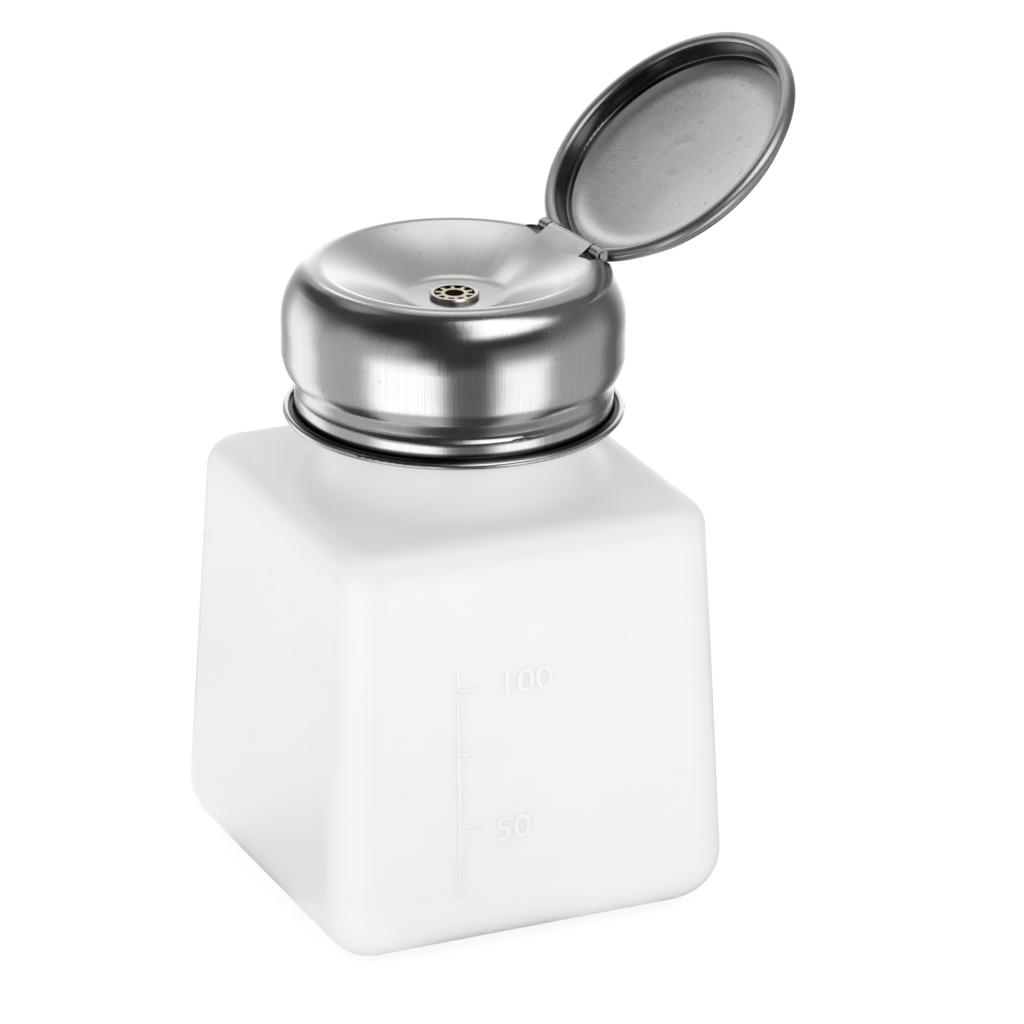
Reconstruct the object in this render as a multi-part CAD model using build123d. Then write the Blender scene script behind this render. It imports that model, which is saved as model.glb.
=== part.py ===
from build123d import *
import os
from math import acos, asin, atan, atan2, cos, degrees, hypot, pi, radians, sin, sqrt, tan

# A square translucent bottle with a press-down metal dish pump and a hinged lid.
# Millimetres, +Z up. The origin is the centre of the bottle's flat base.
# At rest the dish is up and the lid stands open, as far back as its hinge lets it go.

# Driving dimensions of the bottle
bottle_ledge = 8.25
bottle_spread = 2.55
bottle_shoulder_height = 56.4
bottle_corner_radius = 5.5
bottle_foot_radius = 7.4
bottle_brow_radius = 3.8
bottle_brow_land = 0.2
bottle_wall = 1.2
push_up_depth = 0.8
push_up_margin = 10.5
push_up_edge_radius = 0.5
neck_radius = 17.5
neck_wall = 1.7
neck_root_radius = 4.2
neck_length = 12.9

# Driving dimensions of the closure
gasket_thickness = 0.8
gasket_inset = 0.2
flange_thickness = 1.2
closure_sheet = 0.4
insert_wall = 1.95
closure_height = 7.2
closure_corner_radius = 1.4
closure_band_height = 2.0
closure_bulge = 0.5
closure_bulge_height = 1.2
closure_root_radius = 0.5
closure_brim_width = 1.5
closure_bead_radius = 0.45

# Driving dimensions of the pump
barrel_bore_radius = 4.6
barrel_wall = 1.0
barrel_floor = 1.5
inlet_hole_radius = 1.2
inlet_ball_radius = 1.6
socket_depth = 6.0
socket_wall = 1.1
tube_radius = 2.0
tube_wall = 0.7
tube_floor_gap = 2.0
tube_bevel_angle = 35.0
gland_head_radius = 5.0
gland_head_height = 0.9
gland_depth = 7.0
stem_radius = 2.4
stem_bore_radius = 1.1
spigot_radius = 1.9
piston_height = 5.0
piston_core_radius = 3.6
piston_lip_height = 1.4
piston_lip_land = 0.6
snap_bead_height = 0.6
snap_bead_radius = 2.35
spring_wire_radius = 0.35
spring_coil_radius = 3.5
spring_turns = 6.5
spring_length = 14.0
ledge_height = 2.0
cage_height = 4.4
cage_radius = 2.6
cage_roof = 0.8
cage_slot_width = 1.0
ball_play = 0.25
outlet_ball_radius = 1.3
outlet_ball_play = 0.15
outlet_seat_depth = 3.2

# Driving dimensions of the head
press_stroke = 4.2
head_sheet = 0.4
head_height = 14.43
shoulder_arc_radius = 10.0
crown_outer_radius = 3.9
crown_inner_radius = 2.0
crest_inset = 4.92
dish_depth = 4.58
dish_floor_radius = 5.5
dish_corner_radius = 4.0
dish_brim_slope_share = 0.96
lip_height = 3.0
lip_inset = 1.05
seam_step = 0.1
nut_height = 2.55
nut_across_flats = 7.5
nut_chamfer = 0.3
washer_thickness = 0.5
washer_radius = 4.5
nozzle_radius = 3.25
nozzle_height = 0.55
nozzle_edge = 0.2
sleeve_wall = 0.9
star_recess_radius = 2.65
star_recess_depth = 0.75
star_drop = 0.1
star_plate_thickness = 0.4
star_teeth = 10
star_tip_radius = 2.5
star_root_radius = 1.75
star_spigot_radius = 1.6
star_spigot_length = 0.9
star_bore_radius = 1.2
star_tooth_width = 0.62
star_tip_width = 0.4

# Driving dimensions of the lid and its hinge
head_turn_angle = 6.7
lid_open_angle = 140.6
hinge_reach = 0.3
hinge_drop = 0.05
pin_radius = 0.5
pin_end = 0.3
tongue_width = 10.0
tongue_curl_angle = 245.0
ear_width = 1.9
window_margin = 0.8
window_depth = 2.6
notch_reach = 2.1
tongue_root_margin = 0.6
tongue_reach = 3.0
tongue_inset = 0.1
lid_overhang = 1.46
lid_sheet = 0.35
lid_roll_radius = 0.95
lid_curl_angle = 290.0
lid_pan_depth = 2.35
lid_pan_radius = 0.7
lid_wall_slope = 4.0
lid_dome_angle = 4.5
lid_slot_reach = 2.1
lid_slot_gap = 0.1

# Clearances, and how far a cutting shape runs past what it cuts
turn_gap = 0.1
running_gap = 0.05
seat_gap = 0.3
thread_gap = 0.3
rest_gap = 0.25
side_gap = 0.3
skirt_gap = 0.25
hole_gap = 0.4
overrun = 1.0
level_band = 0.01
standing = (Align.CENTER, Align.CENTER, Align.MIN)

# Heights that follow from how the pieces stack
bottle_floor_top = push_up_depth + bottle_wall
neck_top = bottle_shoulder_height + neck_length
flange_bottom = neck_top + gasket_thickness
flange_top = flange_bottom + flange_thickness
closure_top = flange_top + turn_gap + closure_sheet
closure_bottom = closure_top - closure_height
gland_top = flange_top + gland_head_height
gland_bottom = flange_top - gland_depth
nut_bottom = gland_top + press_stroke + seat_gap
nut_top = nut_bottom + nut_height
dish_floor = nut_top + washer_thickness + head_sheet
crest_height = dish_floor + dish_depth
head_bottom = crest_height - head_height
seam_height = head_bottom + lip_height
nozzle_top = dish_floor + nozzle_height
star_top = nozzle_top - star_drop
stem_top = star_top - star_plate_thickness - star_spigot_length
piston_top = gland_bottom - seat_gap
piston_bottom = piston_top - piston_height
spring_top = piston_bottom - running_gap
spring_bottom = spring_top - spring_length
barrel_floor_top = spring_bottom - running_gap - ledge_height
barrel_bottom = barrel_floor_top - barrel_floor
socket_bottom = barrel_bottom - socket_depth
tube_bottom = bottle_floor_top + tube_floor_gap
hinge_height = crest_height - hinge_drop

# Widths that follow from what each piece fits
bottle_shoulder_side = 2 * (neck_radius + bottle_ledge)
bottle_base_side = bottle_shoulder_side + 2 * bottle_spread
neck_bore_radius = neck_radius - neck_wall
closure_wall_radius = neck_radius + thread_gap + insert_wall + running_gap + closure_sheet
closure_bulge_radius = closure_wall_radius + closure_bulge
closure_brim_radius = closure_bulge_radius + closure_brim_width
skirt_radius = closure_bulge_radius + skirt_gap + head_sheet + lip_inset + seam_step
crest_radius = skirt_radius - crest_inset
hinge_radius = crest_radius + hinge_reach
notch_radius = crest_radius - notch_reach
lid_radius = crest_radius + lid_overhang
lid_slot_radius = hinge_radius - lid_slot_reach
flange_radius = neck_radius - gasket_inset
barrel_radius = barrel_bore_radius + barrel_wall
gland_bore_radius = stem_radius + running_gap
sleeve_bore_radius = spigot_radius + running_gap
sleeve_radius = sleeve_bore_radius + sleeve_wall
dish_hole_radius = sleeve_radius + running_gap
pin_bore_radius = pin_radius + running_gap
knuckle_radius = pin_bore_radius + head_sheet
notch_half_width = tongue_width / 2 + side_gap + ear_width + window_margin


def turned(points):
    # the solid that a closed outline of (radius, height) points sweeps about Z
    return revolve(Plane.XZ * make_face(Polyline(*points, close=True)), Axis.Z)


def pipe(outer, inner, low, high):
    # a plain tube standing between two heights
    return turned([(inner, low), (outer, low), (outer, high), (inner, high)])


def trail(start, heading, steps, inset=0):
    # runs (length,) and arcs (radius, turn) that follow on smoothly, shifted right by the inset
    angle = radians(heading)
    x = start[0] + inset * sin(angle)
    y = start[1] - inset * cos(angle)
    edges = []
    for step in steps:
        if len(step) == 1:
            end = (x + step[0] * cos(angle), y + step[0] * sin(angle))
            edges.append(Line((x, y), end))
        else:
            turn = radians(step[1])
            side = 1 if turn > 0 else -1
            radius = step[0] + side * inset
            edges.append(JernArc((x, y), (cos(angle), sin(angle)), radius, step[1]))
            end = (
                x + side * radius * (sin(angle + turn) - sin(angle)),
                y - side * radius * (cos(angle + turn) - cos(angle)),
            )
            angle += turn
        x, y = end
    return edges, (x, y)


def sheet_face(start, heading, steps, thickness):
    # the cross-section of sheet metal bent along a trail, its thickness to the trail's right
    outer, outer_end = trail(start, heading, steps)
    inner, inner_end = trail(start, heading, steps, thickness)
    first = (start[0] + thickness * sin(radians(heading)), start[1] - thickness * cos(radians(heading)))
    return make_face(outer + inner + [Line(start, first), Line(outer_end, inner_end)])


def turned_sheet(start, heading, steps, thickness):
    return revolve(Plane.XZ * sheet_face(start, heading, steps, thickness), Axis.Z)


def s_bend(width, rise):
    # the two equal and opposite arcs, as (radius, turn), that carry a trail over by rise in width
    turn = 2 * degrees(atan(rise / width))
    radius = width / (2 * sin(radians(turn)))
    return (radius, turn), (radius, -turn)


def across(face, width):
    # a face of the radius and height plane, thickened evenly to both sides of it
    return extrude(Plane.XZ * face, width / 2, both=True)


def rounded_square(side, radius, height):
    return Plane.XY.offset(height) * RectangleRounded(side, side, radius)


def level_edges(solid, height):
    # the edges that lie flat at one height
    found = solid.edges().filter_by_position(Axis.Z, height - level_band, height + level_band)
    return found.filter_by(lambda edge: edge.bounding_box().size.Z < level_band)


def bottle_form(inset, floor, bore, top):
    # the tapered body and its neck, drawn in by one wall where it makes the hollow
    draft = (bottle_base_side - bottle_shoulder_side) / bottle_shoulder_height
    corner = bottle_corner_radius - inset
    roof = bottle_shoulder_height - inset
    base = rounded_square(bottle_base_side - draft * floor - 2 * inset, corner, floor)
    brow = rounded_square(bottle_base_side - draft * roof - 2 * inset, corner, roof)
    body = loft([base, brow], ruled=True)
    body = fillet(level_edges(body, floor), bottle_foot_radius - inset)
    body = fillet(level_edges(body, roof), bottle_brow_radius - inset)
    body += Plane.XY.offset(roof) * Cylinder(bore, top - roof, align=standing)
    circles = level_edges(body, roof).filter_by(GeomType.CIRCLE)
    ring = circles.filter_by(lambda edge: abs(edge.radius - bore) < level_band)
    root_radius = min(neck_root_radius, bottle_ledge - bottle_brow_radius - bottle_brow_land)
    return fillet(ring, root_radius + inset)


def bottle():
    shell = bottle_form(0, 0, neck_radius, neck_top)
    shell -= bottle_form(bottle_wall, bottle_floor_top, neck_bore_radius, neck_top + overrun)
    side = bottle_base_side - 2 * push_up_margin
    push_up = extrude(rounded_square(side, bottle_corner_radius, -overrun), overrun + push_up_depth)
    push_up = fillet(level_edges(push_up, push_up_depth), push_up_edge_radius)
    return shell - push_up


def neck_gasket():
    return pipe(flange_radius, neck_bore_radius, neck_top, flange_bottom)


def closure_collar():
    # a pressed cap with a hole, a low bulge round its foot and a brim that ends in a rolled bead
    hole = gland_head_radius + hole_gap
    outward, inward = s_bend(closure_bulge_height, closure_bulge)
    foot_wall = closure_height - closure_corner_radius - closure_band_height
    foot_wall -= closure_bulge_height + closure_root_radius + closure_sheet
    bead_centre = closure_brim_radius - closure_bead_radius
    brim = bead_centre - closure_bulge_radius - closure_root_radius
    steps = [
        (closure_wall_radius - closure_corner_radius - hole,),
        (closure_corner_radius, -90),
        (closure_band_height,),
        outward,
        inward,
        (foot_wall,),
        (closure_root_radius, 90),
        (brim,),
    ]
    cap = turned_sheet((hole, closure_top), 0, steps, closure_sheet)
    ring = Plane.XY.offset(closure_bottom + closure_bead_radius) * Torus(bead_centre, closure_bead_radius)
    return cap + ring


def thread_insert():
    # the screw lining, bevelled at its top to clear the rounded corner of the cap
    bore = neck_radius + thread_gap
    outer = bore + insert_wall
    bevel = closure_corner_radius - closure_sheet
    foot = closure_bottom + closure_sheet
    top = closure_top - closure_sheet
    return turned([(bore, foot), (outer, foot), (outer, top - bevel), (outer - bevel, top), (bore, top)])


def pump_barrel():
    socket_bore = tube_radius + running_gap
    socket = socket_bore + socket_wall
    return turned([
        (inlet_hole_radius, barrel_bottom),
        (socket_bore, barrel_bottom),
        (socket_bore, socket_bottom),
        (socket, socket_bottom),
        (socket, barrel_bottom),
        (barrel_radius, barrel_bottom),
        (barrel_radius, flange_bottom),
        (flange_radius, flange_bottom),
        (flange_radius, flange_top),
        (barrel_bore_radius, flange_top),
        (barrel_bore_radius, barrel_floor_top),
        (inlet_hole_radius, barrel_floor_top),
    ])


def stem_guide():
    body = barrel_bore_radius - running_gap
    return turned([
        (gland_bore_radius, gland_bottom),
        (body, gland_bottom),
        (body, flange_top),
        (gland_head_radius, flange_top),
        (gland_head_radius, gland_top),
        (gland_bore_radius, gland_top),
    ])


def ball_retainer():
    base = barrel_bore_radius - running_gap
    ledge = barrel_floor_top + ledge_height
    top = barrel_floor_top + cage_height
    roof = top - cage_roof
    chamber = inlet_ball_radius + ball_play
    cage = turned([
        (chamber, barrel_floor_top),
        (base, barrel_floor_top),
        (base, ledge),
        (cage_radius, ledge),
        (cage_radius, top),
        (0, top),
        (0, roof),
        (chamber, roof),
    ])
    reach = 2 * (cage_radius + overrun)
    slot = Plane.XY.offset(ledge) * Box(reach, cage_slot_width, cage_height, align=standing)
    return cage - slot - Rot(0, 0, 90) * slot


def ball_on_seat(radius, seat_radius, seat_height):
    rise = sqrt(radius**2 - seat_radius**2) + running_gap
    return Plane.XY.offset(seat_height + rise) * Sphere(radius)


def dip_tube():
    tube = pipe(tube_radius, tube_radius - tube_wall, tube_bottom, barrel_bottom)
    reach = 2 * (tube_radius + overrun)
    lift = tube_bottom + tube_radius * tan(radians(tube_bevel_angle))
    below = Box(2 * reach, 2 * reach, 2 * reach, align=(Align.CENTER, Align.CENTER, Align.MAX))
    return tube - Plane.XY.offset(lift) * Rot(0, tube_bevel_angle, 0) * below


def helix_point(turn_share):
    # a point of the spring's centre line and its direction there
    angle = 2 * pi * spring_turns * turn_share
    climb = spring_length - 2 * spring_wire_radius
    low = spring_bottom + spring_wire_radius
    point = Vector(
        spring_coil_radius * cos(angle),
        spring_coil_radius * sin(angle),
        low + climb * turn_share,
    )
    rate = climb / (2 * pi * spring_turns)
    heading = Vector(-spring_coil_radius * sin(angle), spring_coil_radius * cos(angle), rate)
    return point, heading.normalized()


def biarc(start, start_heading, end, end_heading):
    # two arcs that join two points smoothly along the given directions
    gap = end - start
    both = start_heading + end_heading
    spread = 2 * (1 - start_heading.dot(end_heading))
    reach = sqrt(gap.dot(both) ** 2 + spread * gap.dot(gap)) - gap.dot(both)
    reach /= spread
    middle = (start + end + (start_heading - end_heading) * reach) / 2
    first = Edge.make_tangent_arc(start, start_heading, middle)
    return [first, Edge.make_tangent_arc(middle, first.tangent_at(1), end)]


def return_spring():
    quarters = round(4 * spring_turns)
    marks = [helix_point(step / quarters) for step in range(quarters + 1)]
    arcs = []
    for (start, start_heading), (end, end_heading) in zip(marks, marks[1:]):
        arcs += biarc(start, start_heading, end, end_heading)
    wire_end = Plane(origin=marks[0][0], z_dir=marks[0][1]) * Circle(spring_wire_radius)
    pitch = (spring_length - 2 * spring_wire_radius) / spring_turns
    print("spring's least gap to itself", round(pitch - 2 * spring_wire_radius, 3), "mm")
    return sweep(wire_end, path=Wire(arcs))


def piston_seal():
    lip = barrel_bore_radius - running_gap
    return turned([
        (sleeve_bore_radius, piston_bottom),
        (lip, piston_bottom),
        (lip, piston_bottom + piston_lip_land),
        (piston_core_radius, piston_bottom + piston_lip_height),
        (piston_core_radius, piston_top - piston_lip_height),
        (lip, piston_top - piston_lip_land),
        (lip, piston_top),
        (sleeve_bore_radius, piston_top),
    ])


def plunger_stem():
    # a tube with a snap-on end for the piston, and a pocket for the outlet ball at its top
    bead_top = piston_bottom - running_gap
    bead_bottom = bead_top - snap_bead_height
    shoulder = piston_top + running_gap
    seat = stem_top - outlet_seat_depth
    pocket = outlet_ball_radius + outlet_ball_play
    return turned([
        (stem_bore_radius, bead_bottom),
        (spigot_radius, bead_bottom),
        (snap_bead_radius, bead_top),
        (spigot_radius, bead_top),
        (spigot_radius, shoulder),
        (stem_radius, shoulder),
        (stem_radius, nut_bottom),
        (spigot_radius, nut_bottom),
        (spigot_radius, stem_top),
        (pocket, stem_top),
        (pocket, seat),
        (stem_bore_radius, seat),
    ])


def clamp_nut():
    nut = RegularPolygon(nut_across_flats / 2, 6, major_radius=False)
    nut = extrude(Plane.XY.offset(nut_bottom) * nut, nut_height)
    corner = nut_across_flats / sqrt(3)
    taper = tan(radians(30)) * nut_chamfer
    cone = turned([
        (0, nut_bottom),
        (corner - nut_chamfer, nut_bottom),
        (corner, nut_bottom + taper),
        (corner, nut_top),
        (0, nut_top),
    ])
    bore = Plane.XY.offset(nut_bottom - overrun) * Cylinder(
        dish_hole_radius, nut_height + 2 * overrun, align=standing
    )
    return (nut & cone) - bore


def dish_seal():
    return pipe(washer_radius, dish_hole_radius, nut_top, nut_top + washer_thickness)


def nozzle_collar():
    recess_floor = nozzle_top - star_recess_depth
    return turned([
        (sleeve_bore_radius, nut_bottom),
        (sleeve_radius, nut_bottom),
        (sleeve_radius, dish_floor),
        (nozzle_radius, dish_floor),
        (nozzle_radius, nozzle_top - nozzle_edge),
        (nozzle_radius - nozzle_edge, nozzle_top),
        (star_recess_radius, nozzle_top),
        (star_recess_radius, recess_floor),
        (sleeve_bore_radius, recess_floor),
    ])


def star_insert():
    # a toothed spreader plate on a short spigot, bored right through
    root = Circle(star_root_radius)
    tooth = make_face(Polyline(
        (0, -star_tooth_width / 2),
        (star_tip_radius, -star_tip_width / 2),
        (star_tip_radius, star_tip_width / 2),
        (0, star_tooth_width / 2),
        close=True,
    ))
    plate = root + [Rot(0, 0, 360 * index / star_teeth) * tooth for index in range(star_teeth)]
    plate_bottom = star_top - star_plate_thickness
    star = extrude(Plane.XY.offset(plate_bottom) * plate, star_plate_thickness)
    star += Plane.XY.offset(stem_top) * Cylinder(star_spigot_radius, star_spigot_length, align=standing)
    bore_length = star_spigot_length + star_plate_thickness + 2 * overrun
    return star - Plane.XY.offset(stem_top - overrun) * Cylinder(
        star_bore_radius, bore_length, align=standing
    )


def crown_height(radius):
    # how high the dish's outer crown stands at a radius beyond its crest
    return crest_height - crown_outer_radius + sqrt(crown_outer_radius**2 - (radius - crest_radius) ** 2)


def bowl_wall():
    # the bowl's long outward curve, which leaves the floor's corner and runs into the crown:
    # its radius, the centre it turns about, and its slopes at the brim and at the corner
    width = crest_radius - dish_floor_radius
    brim = dish_brim_slope_share * atan2(dish_depth, width)
    run = width - crown_inner_radius * sin(brim)
    level = dish_corner_radius + crown_inner_radius * (1 - cos(brim)) - dish_depth
    bend = 2 * (dish_corner_radius - run * sin(brim) - level * cos(brim))
    radius = (run**2 + level**2 - dish_corner_radius**2) / bend
    corner = acos((level + radius * cos(brim)) / (radius + dish_corner_radius))
    centre = (
        crest_radius + (radius - crown_inner_radius) * sin(brim),
        crest_height - crown_inner_radius - (radius - crown_inner_radius) * cos(brim),
    )
    return radius, centre, brim, corner


def dish_form():
    # the pressing alone: floor, bowl, crown, shoulder, skirt and the curled lip under it
    wall_radius, _, brim, corner = bowl_wall()
    fall = degrees(acos(
        (shoulder_arc_radius - skirt_radius + crest_radius) / (shoulder_arc_radius - crown_outer_radius)
    ))
    skirt_top = crest_height - crown_outer_radius * (1 - sin(radians(fall)))
    skirt_top -= shoulder_arc_radius * sin(radians(fall))
    steps = [
        (dish_floor_radius - dish_hole_radius,),
        (dish_corner_radius, degrees(corner)),
        (wall_radius, degrees(brim - corner)),
        (crown_inner_radius, -degrees(brim)),
        (crown_outer_radius, fall - 90),
        (shoulder_arc_radius, -fall),
        (skirt_top - seam_height,),
    ]
    pressing = turned_sheet((dish_hole_radius, dish_floor), 0, steps, head_sheet)
    lip_radius = (lip_height**2 + lip_inset**2) / (2 * lip_inset)
    lip_turn = degrees(atan2(lip_height, lip_radius - lip_inset))
    start = (skirt_radius - seam_step, seam_height)
    return pressing + turned_sheet(start, -90, [(lip_radius, -lip_turn)], head_sheet)


def hinge_tongue():
    # a tongue that rises out of the bowl's sheet and curls over the hinge pin
    wall_radius, centre, _, _ = bowl_wall()
    near = crest_radius - tongue_reach
    low = centre[1] + sqrt(wall_radius**2 - (near - centre[0]) ** 2) - tongue_inset
    over = hinge_radius - near
    up = hinge_height - low
    apart = hypot(over, up)
    heading = degrees(atan2(up, over) + asin(knuckle_radius / apart))
    steps = [(sqrt(apart**2 - knuckle_radius**2),), (knuckle_radius, -tongue_curl_angle)]
    return across(sheet_face((near, low), heading, steps, head_sheet), tongue_width)


def block(near, far, half_width, low, high):
    # a block between two radii on the hinge side, even about the head's centre line
    return Pos((near + far) / 2, 0, (low + high) / 2) * Box(far - near, 2 * half_width, high - low)


def pin_rod(radius, length):
    return Pos(hinge_radius, 0, hinge_height) * Rot(90, 0, 0) * Cylinder(radius, length)


def dish_head():
    head = dish_form()
    far = skirt_radius + overrun
    low = crest_height - window_depth
    high = crest_height + overrun
    window = block(notch_radius, far, notch_half_width, low, high)
    root = hinge_radius - knuckle_radius - tongue_root_margin
    window -= block(notch_radius - overrun, root, tongue_width / 2, low - overrun, high + overrun)
    head = head - window + hinge_tongue()
    head -= pin_rod(pin_bore_radius, tongue_width + 2 * overrun)
    return Rot(0, 0, head_turn_angle) * head


def hinge_pin():
    length = tongue_width + 2 * (side_gap + ear_width + pin_end)
    return Rot(0, 0, head_turn_angle) * pin_rod(pin_radius, length)


def lid_form():
    # the lid lying shut: a shallow pan whose wall curls outward into a hollow rolled rim
    roll_ring = lid_radius - lid_roll_radius
    roll_height = crown_height(roll_ring) + rest_gap + lid_roll_radius
    roll_bore = lid_roll_radius - lid_sheet
    corner_turn = 90 - lid_dome_angle - lid_wall_slope
    lean = radians(lid_wall_slope)
    dome = radians(lid_dome_angle)
    wall_foot = roll_ring - roll_bore * cos(lean)
    wall_end = roll_height - roll_bore * sin(lean)
    corner_drop = lid_pan_radius * (cos(dome) - sin(lean))
    corner_width = lid_pan_radius * (cos(lean) - sin(dome))
    wall_length = (roll_height + lid_pan_depth - corner_drop - wall_end) / cos(lean)
    plate_edge = wall_foot - wall_length * sin(lean) - corner_width
    dome_radius = plate_edge / sin(dome)
    plate_top = roll_height + lid_pan_depth + dome_radius * (1 - cos(dome))
    steps = [
        (dome_radius, -lid_dome_angle),
        (lid_pan_radius, -corner_turn),
        (wall_length,),
        (roll_bore, lid_curl_angle),
    ]
    return turned_sheet((0, plate_top), 0, steps, lid_sheet), roll_height


def lid():
    slot_half = tongue_width / 2 + side_gap
    shape, roll_height = lid_form()
    low = hinge_height - knuckle_radius - overrun
    high = roll_height + lid_roll_radius + lid_slot_gap
    shape -= block(lid_slot_radius, lid_radius + overrun, slot_half, low, high)
    for side in (-1, 1):
        shape += Pos(0, side * (slot_half + ear_width / 2), 0) * pin_rod(knuckle_radius, ear_width)
    shape -= pin_rod(pin_bore_radius, 2 * (slot_half + ear_width + overrun))
    hinge_line = Axis((hinge_radius, 0, hinge_height), (0, 1, 0))
    return Rot(0, 0, head_turn_angle) * shape.rotate(hinge_line, lid_open_angle)


def outlet_ball():
    return ball_on_seat(outlet_ball_radius, stem_bore_radius, stem_top - outlet_seat_depth)


def inlet_ball():
    return ball_on_seat(inlet_ball_radius, inlet_hole_radius, barrel_floor_top)


pieces = [
    bottle,
    neck_gasket,
    closure_collar,
    thread_insert,
    pump_barrel,
    stem_guide,
    ball_retainer,
    inlet_ball,
    dip_tube,
    return_spring,
    piston_seal,
    plunger_stem,
    outlet_ball,
    clamp_nut,
    dish_seal,
    nozzle_collar,
    star_insert,
    dish_head,
    hinge_pin,
    lid,
]

os.makedirs("parts", exist_ok=True)
for piece in pieces:
    export_step(piece(), f"parts/{piece.__name__}.step")
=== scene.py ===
import bpy
import bmesh
import math
from mathutils import Matrix, Vector


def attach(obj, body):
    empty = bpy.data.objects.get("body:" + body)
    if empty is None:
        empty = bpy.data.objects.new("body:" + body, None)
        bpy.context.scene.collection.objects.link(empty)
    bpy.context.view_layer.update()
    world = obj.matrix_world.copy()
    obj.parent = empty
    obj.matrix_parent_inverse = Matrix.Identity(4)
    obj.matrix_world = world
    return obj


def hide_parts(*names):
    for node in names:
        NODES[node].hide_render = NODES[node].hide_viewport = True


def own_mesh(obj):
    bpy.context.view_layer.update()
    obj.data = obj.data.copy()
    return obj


# A square milky bottle with a steel dish pump and an open, hinged steel lid.
# Metres, +Z up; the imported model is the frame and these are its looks.

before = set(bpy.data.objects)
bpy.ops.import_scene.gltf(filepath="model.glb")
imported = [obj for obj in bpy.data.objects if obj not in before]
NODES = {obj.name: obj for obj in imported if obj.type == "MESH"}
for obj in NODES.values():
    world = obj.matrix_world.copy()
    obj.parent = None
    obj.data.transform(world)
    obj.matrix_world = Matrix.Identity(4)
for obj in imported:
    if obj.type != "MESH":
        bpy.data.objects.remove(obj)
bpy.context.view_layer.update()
MM = 0.001


# Small helpers

def link(obj):
    bpy.context.scene.collection.objects.link(obj)
    return obj


def mesh_object(name, bm):
    mesh = bpy.data.meshes.new(name)
    bm.to_mesh(mesh)
    bm.free()
    return link(bpy.data.objects.new(name, mesh))


def smooth(obj, angle):
    for polygon in obj.data.polygons:
        polygon.use_smooth = True
    obj.data.set_sharp_from_angle(angle=math.radians(angle))


# Node trees

MIX_SHARE = 0
COLOUR_INPUTS, COLOUR_OUTPUT = (6, 7), 2
VECTOR_INPUTS, VECTOR_OUTPUT = (4, 5), 1
SPECK_SOFT_SHARE = 0.6


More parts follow.
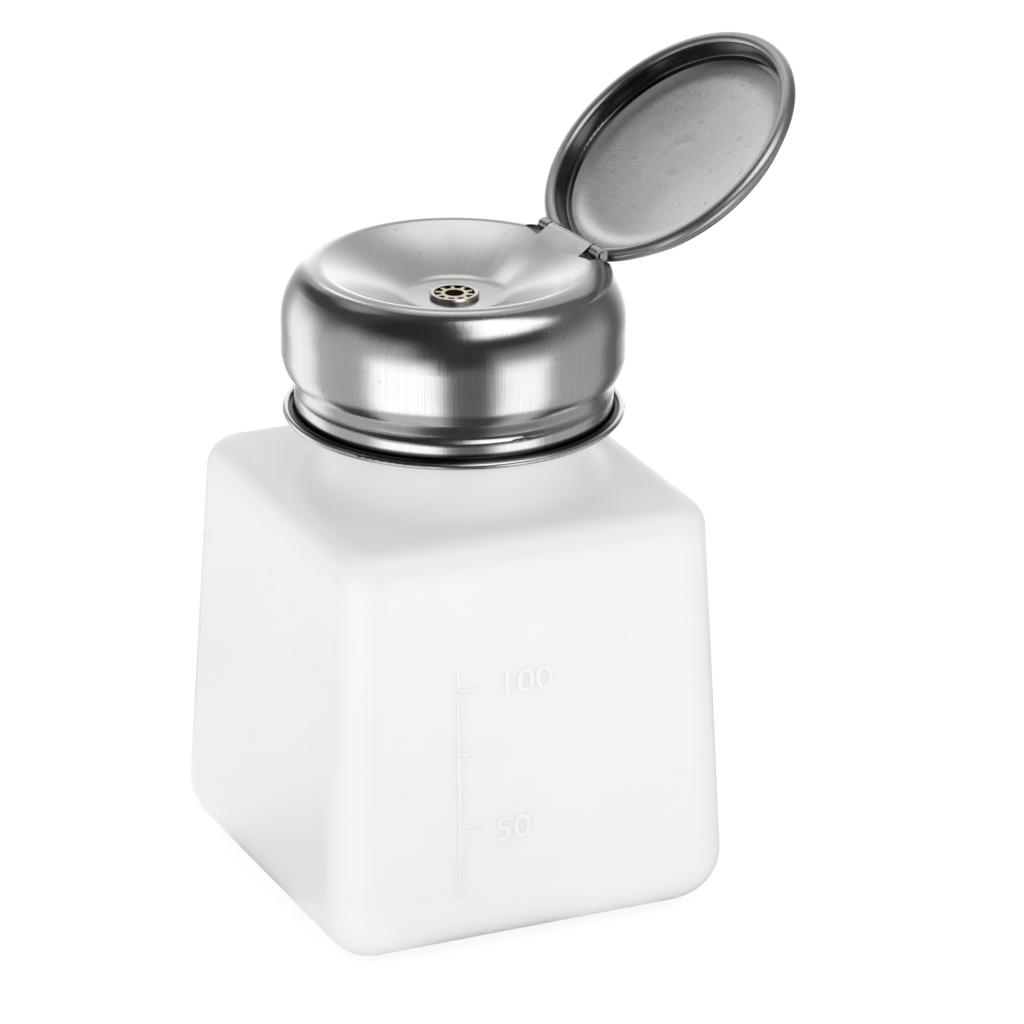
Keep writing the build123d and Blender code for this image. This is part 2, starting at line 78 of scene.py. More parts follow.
class Tree:
    """The node tree of a material or a world, whose nodes are added one call at a time."""

    def __init__(self, owner, output_kind):
        owner.use_nodes = True
        self.nodes = owner.node_tree.nodes
        self.links = owner.node_tree.links
        self.nodes.clear()
        self.out = self.nodes.new(output_kind)

    def add(self, kind, inputs=None, **settings):
        node = self.nodes.new(kind)
        for key, value in settings.items():
            setattr(node, key, value)
        for key, value in (inputs or {}).items():
            self.put(node, key, value)
        return node

    def put(self, node, key, value):
        socket = node.inputs[key]
        if isinstance(value, bpy.types.NodeSocket):
            self.links.new(value, socket)
        else:
            socket.default_value = value

    def show(self, shader):
        self.links.new(shader.outputs[0], self.out.inputs["Surface"])

    def math(self, operation, first, second=0.0, third=0.0):
        return self.add("ShaderNodeMath", {0: first, 1: second, 2: third}, operation=operation).outputs[0]

    def plus(self, first, second):
        return self.math("ADD", first, second)

    def minus(self, first, second):
        return self.math("SUBTRACT", first, second)

    def times(self, first, second):
        return self.math("MULTIPLY", first, second)

    def larger(self, first, second):
        return self.math("MAXIMUM", first, second)

    def smaller(self, first, second):
        return self.math("MINIMUM", first, second)

    def above(self, value, edge, soft):
        """One above an edge and none below it, changing over a soft width."""
        inputs = {"Value": value, "From Min": edge - soft / 2, "From Max": edge + soft / 2}
        return self.add("ShaderNodeMapRange", inputs, interpolation_type="SMOOTHSTEP").outputs[0]

    def below(self, value, edge, soft):
        return self.minus(1.0, self.above(value, edge, soft))

    def between(self, value, low, high, soft):
        return self.times(self.above(value, low, soft), self.below(value, high, soft))

    def span(self, factor, low, high):
        inputs = {"Value": factor, "To Min": low, "To Max": high}
        return self.add("ShaderNodeMapRange", inputs).outputs["Result"]

    def noise(self, vector, scale, detail=3.0, roughness=0.55):
        inputs = {"Vector": vector, "Scale": scale, "Detail": detail, "Roughness": roughness}
        return self.add("ShaderNodeTexNoise", inputs).outputs["Fac"]

    def specks(self, vector, scale, size, share):
        """One inside small round specks that a share of the cells holds."""
        cells = self.add("ShaderNodeTexVoronoi", {"Vector": vector, "Scale": scale})
        dot = self.below(cells.outputs["Distance"], size, size * SPECK_SOFT_SHARE)
        chance = self.add("ShaderNodeSeparateXYZ", {"Vector": cells.outputs["Color"]}).outputs[0]
        return self.times(dot, self.math("LESS_THAN", chance, share))

    def ramp(self, factor, dark, light, low=0.3, high=0.7):
        node = self.add("ShaderNodeValToRGB", {"Fac": factor})
        for stop, position, colour in zip(node.color_ramp.elements, (low, high), (dark, light)):
            stop.position = position
            stop.color = (*colour, 1)
        return node.outputs["Color"]

    def shaded(self, colour, share, dark):
        """A colour mixed towards a darker one."""
        first, second = COLOUR_INPUTS
        inputs = {MIX_SHARE: share, first: colour, second: (*dark, 1)}
        return self.add("ShaderNodeMix", inputs, data_type="RGBA").outputs[COLOUR_OUTPUT]

    def mixed_vector(self, share, start, end):
        first, second = VECTOR_INPUTS
        inputs = {MIX_SHARE: share, first: start, second: end}
        return self.add("ShaderNodeMix", inputs, data_type="VECTOR").outputs[VECTOR_OUTPUT]

    def place(self, origin=None, axis=None):
        """The object's own coordinates, or coordinates about an axis through a point of it."""
        own = self.add("ShaderNodeTexCoord").outputs["Object"]
        if origin is None:
            return own
        turn = axis.to_track_quat("Z", "Y").to_euler()
        inputs = {"Vector": own, "Location": origin, "Rotation": turn}
        return self.add("ShaderNodeMapping", inputs, vector_type="TEXTURE").outputs[0]

    def cylinder(self, vector):
        """Turn about the Z axis, distance from it, and height."""
        x, y, z = self.add("ShaderNodeSeparateXYZ", {"Vector": vector}).outputs
        square = self.plus(self.times(x, x), self.times(y, y))
        return self.math("ARCTAN2", y, x), self.math("SQRT", square), z

    def round_place(self, vector, along, up, outward):
        """Coordinates that run round the Z axis, so that a grain follows a turned sheet."""
        turn, radius, z = self.cylinder(vector)
        inputs = {
            "X": self.times(turn, along),
            "Y": self.times(radius, outward),
            "Z": self.times(z, up),
        }
        return self.add("ShaderNodeCombineXYZ", inputs).outputs[0]

    def bump(self, height, strength, distance, normal=None):
        inputs = {"Height": height, "Strength": strength, "Distance": distance}
        if normal is not None:
            inputs["Normal"] = normal
        return self.add("ShaderNodeBump", inputs).outputs["Normal"]

    def relief(self, height, normal=None):
        """The bump of a height in metres."""
        return self.bump(height, 1.0, 1.0, normal)

    def seen(self):
        """One for rays from the camera, and for what mirrors and clear pieces show it."""
        ray = self.add("ShaderNodeLightPath").outputs
        mirrored = self.larger(ray["Is Camera Ray"], ray["Is Glossy Ray"])
        return self.larger(mirrored, ray["Is Transmission Ray"])


class Surface(Tree):
    """A material that starts with a principled shader."""

    def __init__(self, name):
        self.material = bpy.data.materials.new(name)
        super().__init__(self.material, "ShaderNodeOutputMaterial")
        self.shader = self.add("ShaderNodeBsdfPrincipled")
        self.show(self.shader)

    def set(self, **values):
        for key, value in values.items():
            self.put(self.shader, key.replace("_", " "), value)


# Plastics, with noise and specks whose scales count cells in a metre

MILKY_DARK, MILKY_LIGHT = (0.885, 0.892, 0.888), (0.915, 0.92, 0.915)
GREY = (0.5, 0.5, 0.5)
# The band of painted shade over the shoulder's bend
BROW_LOW, BROW_HIGH, BROW_SOFT = 52.5 * MM, 57.0 * MM, 3.0 * MM
BROW_SHADE_SHARE, DUST_SHARE = 0.14, 0.06
SCATTER_DEPTH = 4.0 * MM
RIPPLE_DEPTH, MATT_DEPTH, MOULD_DEPTH = 1.0 * MM, 0.2 * MM, 0.1 * MM


def milky_plastic():
    """Milky plastic with faint dust specks, and a little greyer where the wall bends over at the shoulder,
    which is painted shade.
    """
    t = Surface("milky_plastic")
    place = t.place()
    _, _, z = t.cylinder(place)
    colour = t.ramp(t.noise(place, scale=38.0), MILKY_DARK, MILKY_LIGHT, high=0.75)
    # Painted shade: a grey band over the shoulder's bend
    brow_shade = t.times(t.between(z, BROW_LOW, BROW_HIGH, BROW_SOFT), BROW_SHADE_SHARE)
    dust = t.times(t.specks(place, scale=260.0, size=0.14, share=0.2), DUST_SHARE)
    colour = t.shaded(colour, t.plus(brow_shade, dust), GREY)
    roughness = t.span(t.noise(place, scale=160.0, detail=2.0), 0.33, 0.42)
    t.set(Base_Color=colour, Roughness=roughness, Specular_IOR_Level=0.45)
    t.set(Subsurface_Weight=0.35, Subsurface_Scale=SCATTER_DEPTH, Subsurface_Radius=(1.0, 1.0, 1.0))
    ripple = t.bump(t.noise(place, scale=55.0, detail=2.0), 0.08, RIPPLE_DEPTH)
    t.set(Normal=t.bump(t.noise(place, scale=900.0, detail=1.0), 0.06, MATT_DEPTH, ripple))
    return t.material


def mould_grain(t, place):
    return t.bump(t.noise(place, scale=1800.0, detail=2.0), 0.1, MOULD_DEPTH)


def moulded_plastic(name, dark, light, rough, gloss=0.5):
    t = Surface(name)
    place = t.place()
    colour = t.ramp(t.noise(place, scale=120.0, detail=2.0), dark, light)
    roughness = t.span(t.noise(place, scale=700.0, detail=2.0), rough - 0.05, rough + 0.05)
    t.set(Base_Color=colour, Roughness=roughness, Specular_IOR_Level=gloss)
    t.set(Normal=mould_grain(t, place))
    return t.material


STAR_BORE, STAR_TIP, STAR_TOP = 1.25 * MM, 2.6 * MM, 80.6 * MM
BORE_EDGE, RECESS_EDGE = 0.08 * MM, 0.1 * MM
CREAM_DARK, CREAM_LIGHT = (0.6, 0.46, 0.3), (0.78, 0.68, 0.5)
# Dark brown of the painted shade in the bore, the tooth gaps and the nozzle's recess
PAINTED_SHADE_BROWN = (0.03, 0.016, 0.009)


def spreader_plastic():
    """Cream plastic with painted shade, dark brown, in its bore and tooth gaps."""
    t = Surface("cream_plastic")
    place = t.place()
    _, radius, z = t.cylinder(place)
    colour = t.ramp(t.noise(place, scale=500.0, detail=2.0), CREAM_DARK, CREAM_LIGHT)
    # Painted shade: the bore and the tooth gaps are darkened towards brown
    bore = t.below(radius, STAR_BORE, BORE_EDGE)
    deep_shade = t.below(z, STAR_TOP - BORE_EDGE, BORE_EDGE)
    colour = t.shaded(colour, t.larger(bore, deep_shade), PAINTED_SHADE_BROWN)
    t.set(Base_Color=colour, Roughness=t.span(t.noise(place, scale=700.0, detail=2.0), 0.22, 0.34))
    t.set(Normal=mould_grain(t, place))
    return t.material


CLEAR_DARK, CLEAR_LIGHT = (0.8, 0.83, 0.82), (0.88, 0.9, 0.89)


def clear_plastic():
    t = Surface("clear_plastic")
    place = t.place()
    t.set(Base_Color=t.ramp(t.noise(place, scale=150.0, detail=2.0), CLEAR_DARK, CLEAR_LIGHT))
    t.set(Roughness=t.span(t.noise(place, scale=400.0, detail=2.0), 0.12, 0.2))
    t.set(Transmission_Weight=0.55, IOR=1.5)
    return t.material


# Metals

GRAIN_SHARE = 0.6
STEEL_GRAIN, GRAIN_DEPTH, PIT_DEPTH = 0.12, 0.06 * MM, 0.04 * MM
POLISH_DEPTH = 0.1 * MM


def brushed_steel(name, dark, light, rough, scales, finish, stretch=0.45, axis=()):
    """Steel sheet with a fine grain, whose three scales run round, up and outward from an axis.
    The finish adds its own darkening, some of it painted shade, roughness and normal from the coordinates."""
    t = Surface(name)
    place = t.place(*axis)
    fine = t.noise(t.round_place(place, *scales), scale=1.0, roughness=0.65)
    cloud = t.noise(t.place(), scale=90.0, detail=4.0, roughness=0.6)
    pits = t.noise(t.place(), scale=1400.0, detail=2.0)
    tone = t.plus(t.times(fine, GRAIN_SHARE), t.times(cloud, 1 - GRAIN_SHARE))
    colour = t.ramp(tone, dark, light)
    roughness = t.span(tone, rough - 0.05, rough + 0.07)
    colour, roughness, normal = finish(t, place, colour, roughness)
    t.set(Base_Color=colour, Metallic=1.0, Roughness=roughness, Anisotropic=stretch)
    t.set(Tangent=t.add("ShaderNodeTangent", direction_type="RADIAL", axis="Z").outputs[0])
    grained = t.bump(fine, STEEL_GRAIN, GRAIN_DEPTH, normal)
    t.set(Normal=t.bump(pits, STEEL_GRAIN / 2, PIT_DEPTH, grained))
    return t.material


def polished_metal(name, dark, light, rough, recess=False):
    """Turned metal, with painted shade inside the recess of the nozzle where it has one."""
    t = Surface(name)
    place = t.place()
    tone = t.noise(place, scale=300.0)
    colour = t.ramp(tone, dark, light)
    if recess:
        _, radius, z = t.cylinder(place)
        # Painted shade inside the nozzle's recess
        inside = t.below(radius, STAR_TIP, RECESS_EDGE)
        deep_shade = t.below(z, STAR_TOP - RECESS_EDGE, RECESS_EDGE)
        colour = t.shaded(colour, t.times(inside, deep_shade), PAINTED_SHADE_BROWN)
    t.set(Base_Color=colour, Metallic=1.0)
    t.set(Roughness=t.span(t.noise(place, scale=900.0, detail=2.0), rough - 0.04, rough + 0.05))
    t.set(Normal=t.bump(tone, 0.05, POLISH_DEPTH))
    return t.material


# Finishes of the pressings, which follow their heights and radii in the solids; the closure and the lid carry
# painted shade

BLACK, WORN_GREY = (0.012, 0.012, 0.012), (0.3, 0.29, 0.28)
SEAM_HEIGHT, LIP_ARC, LIP_LEAN = 73.3 * MM, 4.81 * MM, 0.5
WEAR_SHARE = 0.35
CROWN_LOW, CROWN_HIGH, CROWN_SOFT = 80.0 * MM, 85.0 * MM, 1.5 * MM
CROWN_INNER, CROWN_INNER_SOFT = 18.6 * MM, 0.5 * MM
NICK_DEPTH = 0.006 * MM


def dish_finish(t, place, colour, roughness):
    """The lip under the seam stands a little steeper than its curl; light wear, and nicks on the crown."""
    _, radius, z = t.cylinder(place)
    drop = t.larger(t.minus(SEAM_HEIGHT, z), 0.0)
    lean = t.times(t.times(drop, drop), LIP_LEAN / (2 * LIP_ARC))
    wear = t.times(t.specks(place, scale=700.0, size=0.16, share=0.12), WEAR_SHARE)
    colour = t.shaded(colour, wear, WORN_GREY)
    outside = t.above(radius, CROWN_INNER, CROWN_INNER_SOFT)
    crown = t.times(t.between(z, CROWN_LOW, CROWN_HIGH, CROWN_SOFT), outside)
    nicks = t.times(t.specks(place, scale=2200.0, size=0.2, share=0.35), crown)
    return colour, roughness, t.bump(nicks, 1.0, NICK_DEPTH, t.relief(lean))


COVE_LOW, COVE_HIGH, COVE_DEPTH = 67.9 * MM, 70.3 * MM, 0.55 * MM
# The band of painted shade in the groove above the rolled bead
FOLD_TOP, FOLD_TOP_SOFT = 66.3 * MM, 0.4 * MM
FOLD_RADIUS, FOLD_SOFT = 21.4 * MM, 0.15 * MM
FOLD_SHADE_SHARE = 0.93


def closure_finish_and_shade(t, place, colour, roughness):
    """A cove under the skirt, and painted shade that darkens the groove above the rolled bead."""
    _, radius, z = t.cylinder(place)
    cove = t.times(t.below(z, (COVE_LOW + COVE_HIGH) / 2, COVE_HIGH - COVE_LOW), COVE_DEPTH)
    # Painted shade: the groove above the rolled bead is darkened almost to black
    fold = t.times(t.below(z, FOLD_TOP, FOLD_TOP_SOFT), t.below(radius, FOLD_RADIUS, FOLD_SOFT))
    return t.shaded(colour, t.times(fold, FOLD_SHADE_SHARE), BLACK), roughness, t.relief(cove)


# The middle and the axis of the lid as it stands open
LID_MIDDLE = Vector((34.14 * MM, 4.01 * MM, 92.77 * MM))
LID_AXIS = Vector((0.6304, 0.0741, -0.7727))
LID_PLATE, LID_PAN = 16.2 * MM, 17.3 * MM
LID_SWEEP, LID_SWEEP_SLOPE = 12.4 * MM, 0.24
LID_POLE, LID_POLE_SOFT = 5.0 * MM, 0.5 * MM
PLATE_SOFT, RIM_SOFT = 0.3 * MM, 0.4 * MM
# Darkening of the plate, its dark specks, and the painted shade of the pan wall
PLATE_SHARE, SPECK_SHARE, WALL_SHADE_SHARE = 0.16, 0.12, 0.7
RIM_ROUGHER = 0.16


def lid_finish_and_shade(t, place, colour, roughness):
    """A darker plate with small dark specks that sweeps up into a pan wall darkened with painted shade, and a
    rougher rolled rim.
    """
    _, radius, _ = t.cylinder(place)
    plate = t.below(radius, LID_PLATE, PLATE_SOFT)
    wall = t.between(radius, LID_PLATE, LID_PAN, PLATE_SOFT)
    rim = t.above(radius, LID_PAN, RIM_SOFT)
    marred = t.times(t.specks(place, scale=700.0, size=0.2, share=0.25), SPECK_SHARE)
    specks_and_plate_darkening = t.times(t.plus(marred, PLATE_SHARE), plate)
    # Painted shade on the pan wall, added to the plate's darkening and specks
    darkening_and_wall_shade = t.smaller(t.plus(t.times(wall, WALL_SHADE_SHARE), specks_and_plate_darkening), 1.0)
    colour = t.shaded(colour, darkening_and_wall_shade, BLACK)
    roughness = t.plus(roughness, t.times(rim, RIM_ROUGHER))
    geometry = t.add("ShaderNodeNewGeometry").outputs
    pole = t.below(radius, LID_POLE, LID_POLE_SOFT)
    even = t.mixed_vector(pole, geometry["Normal"], geometry["True Normal"])
    reach = t.larger(t.minus(t.smaller(radius, LID_PLATE), LID_SWEEP), 0.0)
    steepness = LID_SWEEP_SLOPE / (3 * (LID_PLATE - LID_SWEEP) ** 2)
    rise = t.times(t.math("POWER", reach, 3.0), steepness)
    return colour, roughness, t.relief(rise, even)


# Materials of the nodes

MILKY = milky_plastic()
MARK = moulded_plastic("mark_plastic", (0.84, 0.845, 0.84), (0.87, 0.875, 0.87), 0.38)
WHITE = moulded_plastic("white_plastic", (0.8, 0.8, 0.78), (0.87, 0.87, 0.85), 0.42)
SEAL = moulded_plastic("seal_plastic", (0.72, 0.74, 0.72), (0.8, 0.82, 0.8), 0.5)
CREAM = spreader_plastic()
FOAM = moulded_plastic("foam_rubber", (0.55, 0.54, 0.51), (0.7, 0.69, 0.66), 0.75, 0.3)
CLEAR = clear_plastic()
SHEET = (0.52, 0.515, 0.505), (0.66, 0.655, 0.64)
LID_SHEET = (0.47, 0.465, 0.46), (0.6, 0.6, 0.59)
DISH = brushed_steel("dish_steel", *SHEET, 0.15, (260.0, 60.0, 60.0), dish_finish)
COLLAR = brushed_steel("closure_steel", *SHEET, 0.18, (120.0, 500.0, 300.0), closure_finish_and_shade)
LID = brushed_steel(
    "lid_steel", *LID_SHEET, 0.17, (90.0, 900.0, 900.0), lid_finish_and_shade,
    stretch=0.2, axis=(LID_MIDDLE, LID_AXIS),
)
NOZZLE = polished_metal("nozzle_steel", (0.6, 0.58, 0.54), (0.74, 0.71, 0.67), 0.24, recess=True)
PIN = polished_metal("pin_steel", (0.42, 0.42, 0.41), (0.55, 0.55, 0.54), 0.28)
SPRING = polished_metal("spring_steel", (0.42, 0.42, 0.43), (0.56, 0.56, 0.57), 0.25)
BALL = polished_metal("ball_steel", (0.6, 0.6, 0.61), (0.72, 0.72, 0.73), 0.1)
BRASS = polished_metal("nut_brass", (0.6, 0.44, 0.2), (0.76, 0.6, 0.32), 0.24)

FINISHES = {
    "bottle": MILKY,
    "neck_gasket": FOAM,
    "closure_collar": COLLAR,
    "thread_insert": WHITE,
    "pump_barrel": WHITE,
    "stem_guide": WHITE,
    "ball_retainer": WHITE,
    "inlet_ball": BALL,
    "dip_tube": CLEAR,
    "return_spring": SPRING,
    "piston_seal": SEAL,
    "plunger_stem": WHITE,
    "outlet_ball": BALL,
    "clamp_nut": BRASS,
    "dish_seal": FOAM,
    "nozzle_collar": NOZZLE,
    "star_insert": CREAM,
    "dish_head": DISH,
    "hinge_pin": PIN,
    "lid": LID,
}
for node, material in FINISHES.items():
    slots = NODES[node].data.materials
    if not slots:
        slots.append(material)
    for index in range(len(slots)):
        slots[index] = material


# Spring, a copy of the wound spring with its own mesh, joined to the pump

wound = NODES["return_spring"]
spring = link(bpy.data.objects.new("wound_spring", wound.data.copy()))
spring.matrix_world = wound.matrix_world.copy()
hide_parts("return_spring")
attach(spring, "pump")
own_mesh(spring)


# Volume marks

BASE_SIDE = 56.6 * MM
SHOULDER_SIDE = 51.5 * MM
SHOULDER_HEIGHT = 56.4 * MM
FACE_LEAN = math.atan((BASE_SIDE - SHOULDER_SIDE) / 2 / SHOULDER_HEIGHT)
MARK_RELIEF, MARK_EDGE = 0.03 * MM, 0.05 * MM
MARK_WIDTH = 0.35 * MM
LINE_X, LINE_Z, LINE_LENGTH = -11.2 * MM, 24.4 * MM, 31.6 * MM
TICK_START, LONG_TICK, SHORT_TICK = -11.3 * MM, 3.1 * MM, 2.1 * MM
TICKS = {"100": (37.1 * MM, LONG_TICK), "75": (28.4 * MM, SHORT_TICK), "50": (17.7 * MM, LONG_TICK)}
NUMERALS = {"100": (-5.6 * MM, 35.7 * MM), "50": (-6.3 * MM, 15.8 * MM)}
NUMERAL_HEIGHT, NUMERAL_STRETCH = 3.0 * MM, 1.2
FONT_HEIGHT_SHARE = 0.69
SHARP_ANGLE = 50


def on_face(x, z):
    """A frame on the front face at a place along it: X to the right, Y up the face, Z out of it."""
    depth = -(BASE_SIDE / 2 - math.tan(FACE_LEAN) * z)
    lean = Matrix.Rotation(math.radians(90) - FACE_LEAN, 4, "X")
    return Matrix.Translation((x, depth, z)) @ lean


def numeral(name, text, x, z):
    """Raised numerals on the front face; a font's numerals are a share of its size in height."""
    curve = bpy.data.curves.new(name, "FONT")
    curve.body = text
    curve.size = NUMERAL_HEIGHT / FONT_HEIGHT_SHARE
    curve.extrude = MARK_RELIEF
    curve.bevel_depth = MARK_EDGE
    curve.bevel_resolution = 2
    curve.offset = -MARK_EDGE / 2
    piece = link(bpy.data.objects.new(name + "_curve", curve))
    bpy.context.view_layer.update()
    mesh = bpy.data.meshes.new_from_object(piece)
    bpy.data.objects.remove(piece)
    solid = link(bpy.data.objects.new(name, mesh))
    mesh.transform(on_face(x, z) @ Matrix.Diagonal((NUMERAL_STRETCH, 1, 1, 1)))
    return solid


def bar(name, x, z, width, height):
    """A low raised bar on the front face with a soft top edge."""
    bm = bmesh.new()
    bmesh.ops.create_cube(bm, size=1.0)
    bmesh.ops.scale(bm, verts=bm.verts, vec=(width, height, 2 * (MARK_RELIEF + MARK_EDGE)))
    bmesh.ops.bevel(bm, geom=bm.edges[:], offset=MARK_EDGE, segments=3, affect="EDGES", profile=0.5)
    bm.transform(on_face(x, z))
    return mesh_object(name, bm)


def finish_raised(piece):
    """The looks of a form that stands up from the bottle, and what the frame needs to know of it."""
    piece.data.materials.clear()
    piece.data.materials.append(MARK)
    smooth(piece, SHARP_ANGLE)
    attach(piece, "bottle")


marks = [bar("mark_line", LINE_X, LINE_Z, MARK_WIDTH, LINE_LENGTH)]
for volume, (z, length) in TICKS.items():
    marks.append(bar("mark_tick_" + volume, TICK_START + length / 2, z, length, MARK_WIDTH))
for volume, (x, z) in NUMERALS.items():
    marks.append(numeral("mark_" + volume, volume, x, z))
for piece in marks:
    finish_raised(piece)


# Screw thread

NECK_RADIUS = 17.48 * MM
THREAD_LOW, THREAD_PITCH, THREAD_TURNS = 62.4 * MM, 3.2 * MM, 1.6
THREAD_CREST, THREAD_ROOT, THREAD_HALF = 0.22 * MM, 0.1 * MM, 0.75 * MM
CREST_SHARE = 0.35
THREAD_STEPS, TAPER_SHARE = 220, 1 / 14


def thread_row(index):
    """The four corners of the thread's section at one step, lower at both ends of the thread."""
    share = index / THREAD_STEPS
    angle = 2 * math.pi * THREAD_TURNS * share
    fade = min(1.0, share / TAPER_SHARE, (1 - share) / TAPER_SHARE)
    height = THREAD_LOW + THREAD_PITCH * THREAD_TURNS * share
    root, crest = NECK_RADIUS - THREAD_ROOT, NECK_RADIUS + THREAD_CREST * fade
    foot, flat = THREAD_HALF * fade, THREAD_HALF * CREST_SHARE * fade
    corners = (root, -foot), (crest, -flat), (crest, flat), (root, foot)
    return [(reach * math.cos(angle), reach * math.sin(angle), height + up) for reach, up in corners]


def neck_thread():
    """A low thread round the neck that tapers out at both ends."""
    bm = bmesh.new()
    rows = [[bm.verts.new(corner) for corner in thread_row(index)] for index in range(THREAD_STEPS + 1)]
    for first, second in zip(rows, rows[1:]):
        for k in range(4):
            bm.faces.new((first[k], second[k], second[(k + 1) % 4], first[(k + 1) % 4]))
    bm.faces.new(rows[0])
    bm.faces.new(rows[-1][::-1])
    bmesh.ops.recalc_face_normals(bm, faces=bm.faces)
    return mesh_object("neck_thread", bm)


finish_raised(neck_thread())


# Camera

CAMERA_PLACE = Vector((-0.317538, -0.708537, 0.361706))
CAMERA_RIGHT = Vector((0.909720, -0.415152, 0.007629))
CAMERA_UP = Vector((0.148131, 0.341655, 0.928078))
CAMERA_LENS, CAMERA_SENSOR = 225.327, 36.0
CAMERA_NEAR, CAMERA_FAR = 0.01, 20.0

camera_data = bpy.data.cameras.new("camera")
camera_data.sensor_width = CAMERA_SENSOR
camera_data.lens = CAMERA_LENS
camera_data.clip_start = CAMERA_NEAR
camera_data.clip_end = CAMERA_FAR
camera = link(bpy.data.objects.new("camera", camera_data))
back = CAMERA_RIGHT.cross(CAMERA_UP)
turn = Matrix((CAMERA_RIGHT, CAMERA_UP, back)).transposed().to_4x4()
camera.matrix_world = Matrix.Translation(CAMERA_PLACE) @ turn
bpy.context.scene.camera = camera


# Studio

BRIGHT = (1, 1, 1, 1)
WORLD_LIGHT, BACKDROP_LIGHT = 0.92, 1.0
FLOOR_SIZE, FLOOR_DROP = 6.0, 0.2 * MM
FLOOR_COLOUR, FLOOR_GLOW, FLOOR_GLOW_SHARE = (0.97, 0.97, 0.97, 1), 1.06, 0.8


def plain_world():
    world = bpy.data.worlds.new("studio")
    bpy.context.scene.world = world
    t = Tree(world, "ShaderNodeOutputWorld")
    light = t.add("ShaderNodeBackground", {"Color": BRIGHT, "Strength": WORLD_LIGHT})
    backdrop = t.add("ShaderNodeBackground", {"Color": BRIGHT, "Strength": BACKDROP_LIGHT})
    t.show(t.add("ShaderNodeMixShader", {"Fac": t.seen(), 1: light.outputs[0], 2: backdrop.outputs[0]}))


def pale_floor():
    bm = bmesh.new()
    bmesh.ops.create_grid(bm, x_segments=1, y_segments=1, size=FLOOR_SIZE)
    floor = mesh_object("floor", bm)
    floor.location.z = -FLOOR_DROP
    t = Surface("floor")
    t.set(Base_Color=FLOOR_COLOUR, Roughness=0.9, Specular_IOR_Level=0.0)
    white = t.add("ShaderNodeEmission", {"Color": BRIGHT, "Strength": FLOOR_GLOW})
    share = t.times(t.seen(), FLOOR_GLOW_SHARE)
    t.show(t.add("ShaderNodeMixShader", {"Fac": share, 1: t.shader.outputs[0], 2: white.outputs[0]}))
    floor.data.materials.append(t.material)


TENT_CENTRE, TENT_RADIUS, TENT_FLOOR = Vector((0, 0, 78 * MM)), 170 * MM, 0.5 * MM
TENT_SEGMENTS, TENT_RINGS = 96, 48
TOWARDS_CAMERA = math.atan2(CAMERA_PLACE.y, CAMERA_PLACE.x)

# Soft panels round the object that only its reflections show. Each has the side it is measured
# from, the low and high azimuth and how soft these edges are, the same for its elevations, and
# its brightness. Azimuth runs to the picture's right from the camera's side, or from the side
# behind. DOWN is straight down, and OVER lies past the zenith, so that a panel that reaches it
# has no upper edge. Each panel lies over those before it.
DIM = 0.07
DOWN, OVER = -90, 120
HALF_TURN = 180.0
PANELS = [
    ("front", (-62, 62, 16), (14, OVER, 10), 0.03),
    ("front", (62, 128, 14), (DOWN, OVER, 20), 0.16),
    ("front", (-142, -60, 14), (DOWN, 12, 30), 0.6),
    ("front", (-130, -98, 12), (DOWN, 7, 26), 1.4),
    ("front", (-78, -25, 16), (DOWN, 18, 24), 0.55),
    ("front", (-54, -6, 12), (DOWN, -4, 26), 1.7),
    ("front", (20, 110, 10), (DOWN, 8, 30), 0.5),
    ("front", (27, 60, 10), (DOWN, -6, 22), 1.6),
    ("front", (-12, 24, 12), (-14, 32, 10), 0.045),
    ("front", (-4, 25, 10), (DOWN, -8, 14), 0.15),
    ("front", (12, 75, 12), (31, 78, 8), 1.8),
    ("back", (-48, 38, 10), (DOWN, 74, 10), 0.55),
    ("back", (-35, 25, 10), (DOWN, 24, 30), 1.5),
    ("back", (-16, 16, 8), (49, 62, 7), 1.35),
    ("back", (22, 31, 5), (33, 48, 5), 1.8),
    ("back", (31, 42, 4), (30, 39, 3), 0.55),
    ("back", (32, 46, 4), (38, 50, 3), 0.2),
    ("front", (-138, -96, 10), (46, 64, 8), 0.4),
    ("front", (-142, 142, 14), (DOWN, -35, 8), 0.06),
    ("front", (-130, -96, 14), (DOWN, -35, 8), 1.1),
    ("front", (-56, -6, 14), (DOWN, -35, 8), 0.75),
    ("front", (36, 62, 14), (DOWN, -35, 8), 0.65),
    ("front", (94, 118, 14), (DOWN, -35, 8), 0.4),
]


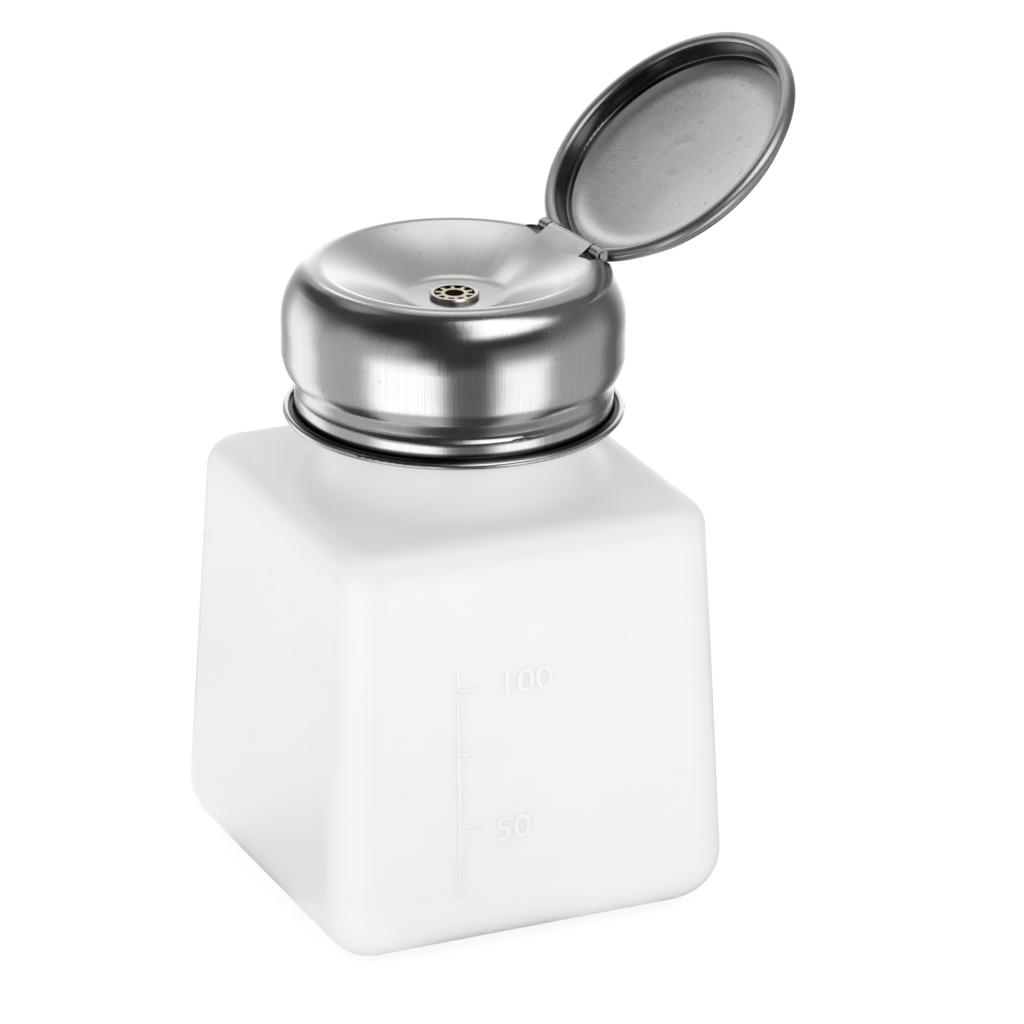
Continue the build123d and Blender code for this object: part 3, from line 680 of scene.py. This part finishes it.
def studio_tent():
    bm = bmesh.new()
    bmesh.ops.create_uvsphere(bm, u_segments=TENT_SEGMENTS, v_segments=TENT_RINGS, radius=TENT_RADIUS)
    for vertex in bm.verts:
        vertex.co.z = max(vertex.co.z, TENT_FLOOR - TENT_CENTRE.z)
    tent = mesh_object("tent", bm)
    tent.location = TENT_CENTRE
    tent.rotation_euler.z = TOWARDS_CAMERA
    material = bpy.data.materials.new("tent")
    t = Tree(material, "ShaderNodeOutputMaterial")
    turn, radius, z = t.cylinder(t.place())
    azimuth = t.math("DEGREES", turn)
    behind = t.math("WRAP", t.plus(azimuth, HALF_TURN), HALF_TURN, -HALF_TURN)
    sides = {"front": azimuth, "back": behind}
    elevation = t.math("DEGREES", t.math("ARCTAN2", z, radius))
    level = DIM
    for side, azimuths, elevations, brightness in PANELS:
        share = t.times(t.between(sides[side], *azimuths), t.between(elevation, *elevations))
        level = t.plus(level, t.times(share, t.minus(brightness, level)))
    t.show(t.add("ShaderNodeEmission", {"Color": BRIGHT, "Strength": level}))
    tent.data.materials.append(material)
    for kind in ("camera", "diffuse", "transmission", "volume_scatter", "shadow"):
        setattr(tent, "visible_" + kind, False)


LAMP_AIM = Vector((0, 0, 50 * MM))


def lamp(name, azimuth, elevation, distance, size, power):
    """A round soft lamp aimed at the object, its azimuth counted from the camera's side."""
    data = bpy.data.lights.new(name, "AREA")
    data.shape = "DISK"
    data.size = size
    data.energy = power
    obj = link(bpy.data.objects.new(name, data))
    angle = TOWARDS_CAMERA + math.radians(azimuth)
    lift = math.radians(elevation)
    away = Vector((math.cos(lift) * math.cos(angle), math.cos(lift) * math.sin(angle), math.sin(lift)))
    obj.location = LAMP_AIM + distance * away
    obj.rotation_euler = away.to_track_quat("Z", "Y").to_euler()
    obj.visible_glossy = False


plain_world()
pale_floor()
studio_tent()
lamp("key_light", azimuth=24, elevation=8, distance=0.9, size=0.7, power=1.5)
lamp("fill_light", azimuth=-66, elevation=8, distance=1.0, size=0.8, power=0.9)

bpy.context.scene.view_settings.view_transform = "Standard"
